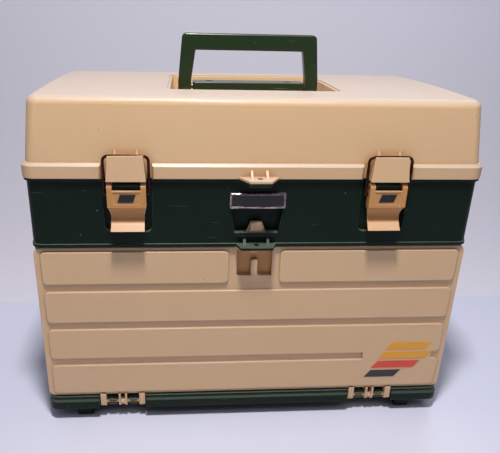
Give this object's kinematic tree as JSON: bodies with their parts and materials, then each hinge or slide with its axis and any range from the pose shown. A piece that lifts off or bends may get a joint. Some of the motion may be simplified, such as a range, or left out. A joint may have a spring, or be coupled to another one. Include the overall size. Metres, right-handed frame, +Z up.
{
  "type": "fishing tackle cabinet",
  "caption": "Portable tackle cabinet with a hinged lid over an upper tub, wire-bail latches, a folding handle and a drop-down front door over sliding divided drawers.",
  "frame": {"origin": "on the floor, in the middle of the outer box of the closed cabinet with its handle up", "axes": "+X to the right as seen from the front, +Y from the front to the back, +Z up"},
  "size_m": [0.52, 0.3165, 0.474],
  "materials": {
    "tan_shell": "fine satin texture, sand coloured",
    "tan_drawer": "smooth satin, sand coloured",
    "tan_divider": "smooth satin, pale sand",
    "green_case": "satin dark green",
    "green_handle": "satin dark green, lightly worn",
    "amber_lever": "worn satin, deeper amber than the shell",
    "bronze_wire": "dark bronzed spring wire",
    "steel": "plain zinc-plated steel",
    "steel_dark": "blackened steel",
    "plate_border": "bright printed border",
    "plate_black": "black, slightly glossy",
    "badge_yellow": "printed film",
    "badge_orange": "printed film",
    "badge_dark": "printed film"
  },
  "bodies": {
    "cabinet": {"drawer_case": "green_case", "upper_tub": "green_case", "tub_screws": "steel", "nameplate_frame": "plate_border", "nameplate_insert": "plate_black", "lid_hinge_pins": "steel", "latch_pins": "steel_dark"},
    "lid": {"lid_shell": "tan_shell", "handle_bracket": "green_handle", "handle_screws": "steel_dark", "handle_pins": "green_handle"},
    "handle": {"handle": "green_handle"},
    "door": {"door_panel": "tan_shell", "badge_yellow_bars": "badge_yellow", "badge_orange_bar": "badge_orange", "badge_dark_bar": "badge_dark"},
    "door_latch": {"door_latch": "tan_shell"},
    "left_lever": {"latch_lever_left": "amber_lever", "latch_inlay_left": "plate_black"},
    "left_bail": {"bail_left": "bronze_wire"},
    "right_lever": {"latch_lever_right": "amber_lever", "latch_inlay_right": "plate_black"},
    "right_bail": {"bail_right": "bronze_wire"},
    "drawer_1": {"drawer_1": "tan_drawer", "drawer_1_dividers": "tan_divider"},
    "drawer_2": {"drawer_2": "tan_drawer", "drawer_2_dividers": "tan_divider"},
    "drawer_3": {"drawer_3": "tan_drawer", "drawer_3_dividers": "tan_divider"},
    "drawer_4": {"drawer_4": "tan_drawer", "drawer_4_dividers": "tan_divider"}
  },
  "joints": [
    {"name": "lid_hinge", "type": "hinge", "parent": "cabinet", "child": "lid", "pos_m": [0, 0.15225, 0.325], "axis": [-1, 0, 0], "range_deg": [0, 100]},
    {"name": "handle_fold", "type": "hinge", "parent": "lid", "child": "handle", "pos_m": [0, 0.00275, 0.4095], "axis": [1, 0, 0], "range_deg": [-90, 90]},
    {"name": "door_hinge", "type": "hinge", "parent": "cabinet", "child": "door", "pos_m": [0, -0.13025, 0.0235], "axis": [1, 0, 0], "range_deg": [0, 90]},
    {"name": "door_latch_slide", "type": "slide", "parent": "cabinet", "child": "door_latch", "axis": [0, 0, 1], "range_m": [0, 0.0092]},
    {"name": "left_lever_hinge", "type": "hinge", "parent": "cabinet", "child": "left_lever", "pos_m": [-0.1455, -0.14325, 0.3185], "axis": [-1, 0, 0], "range_deg": [0, 95]},
    {"name": "left_bail_hinge", "type": "hinge", "parent": "left_lever", "child": "left_bail", "pos_m": [-0.1455, -0.14245, 0.31], "axis": [-1, 0, 0], "range_deg": [-76.5, 0]},
    {"name": "right_lever_hinge", "type": "hinge", "parent": "cabinet", "child": "right_lever", "pos_m": [0.1455, -0.14325, 0.3185], "axis": [-1, 0, 0], "range_deg": [0, 95]},
    {"name": "right_bail_hinge", "type": "hinge", "parent": "right_lever", "child": "right_bail", "pos_m": [0.1455, -0.14245, 0.31], "axis": [-1, 0, 0], "range_deg": [-76.5, 0]},
    {"name": "drawer_1_slide", "type": "slide", "parent": "cabinet", "child": "drawer_1", "axis": [0, -1, 0], "range_m": [0, 0.057]},
    {"name": "drawer_2_slide", "type": "slide", "parent": "cabinet", "child": "drawer_2", "axis": [0, -1, 0], "range_m": [0, 0.145]},
    {"name": "drawer_3_slide", "type": "slide", "parent": "cabinet", "child": "drawer_3", "axis": [0, -1, 0], "range_m": [0, 0.2047]},
    {"name": "drawer_4_slide", "type": "slide", "parent": "cabinet", "child": "drawer_4", "axis": [0, -1, 0], "range_m": [0, 0.2047]}
  ],
  "couplings": [
    {"joint": "left_bail_hinge", "follows": "left_lever_hinge", "ratio": -0.8},
    {"joint": "right_bail_hinge", "follows": "right_lever_hinge", "ratio": -0.8},
    {"joint": "drawer_1_slide", "follows": "door_hinge", "m_per_rad": 0.036},
    {"joint": "drawer_2_slide", "follows": "door_hinge", "m_per_rad": 0.092},
    {"joint": "drawer_3_slide", "follows": "door_hinge", "m_per_rad": 0.13},
    {"joint": "drawer_4_slide", "follows": "door_hinge", "m_per_rad": 0.13}
  ]
}
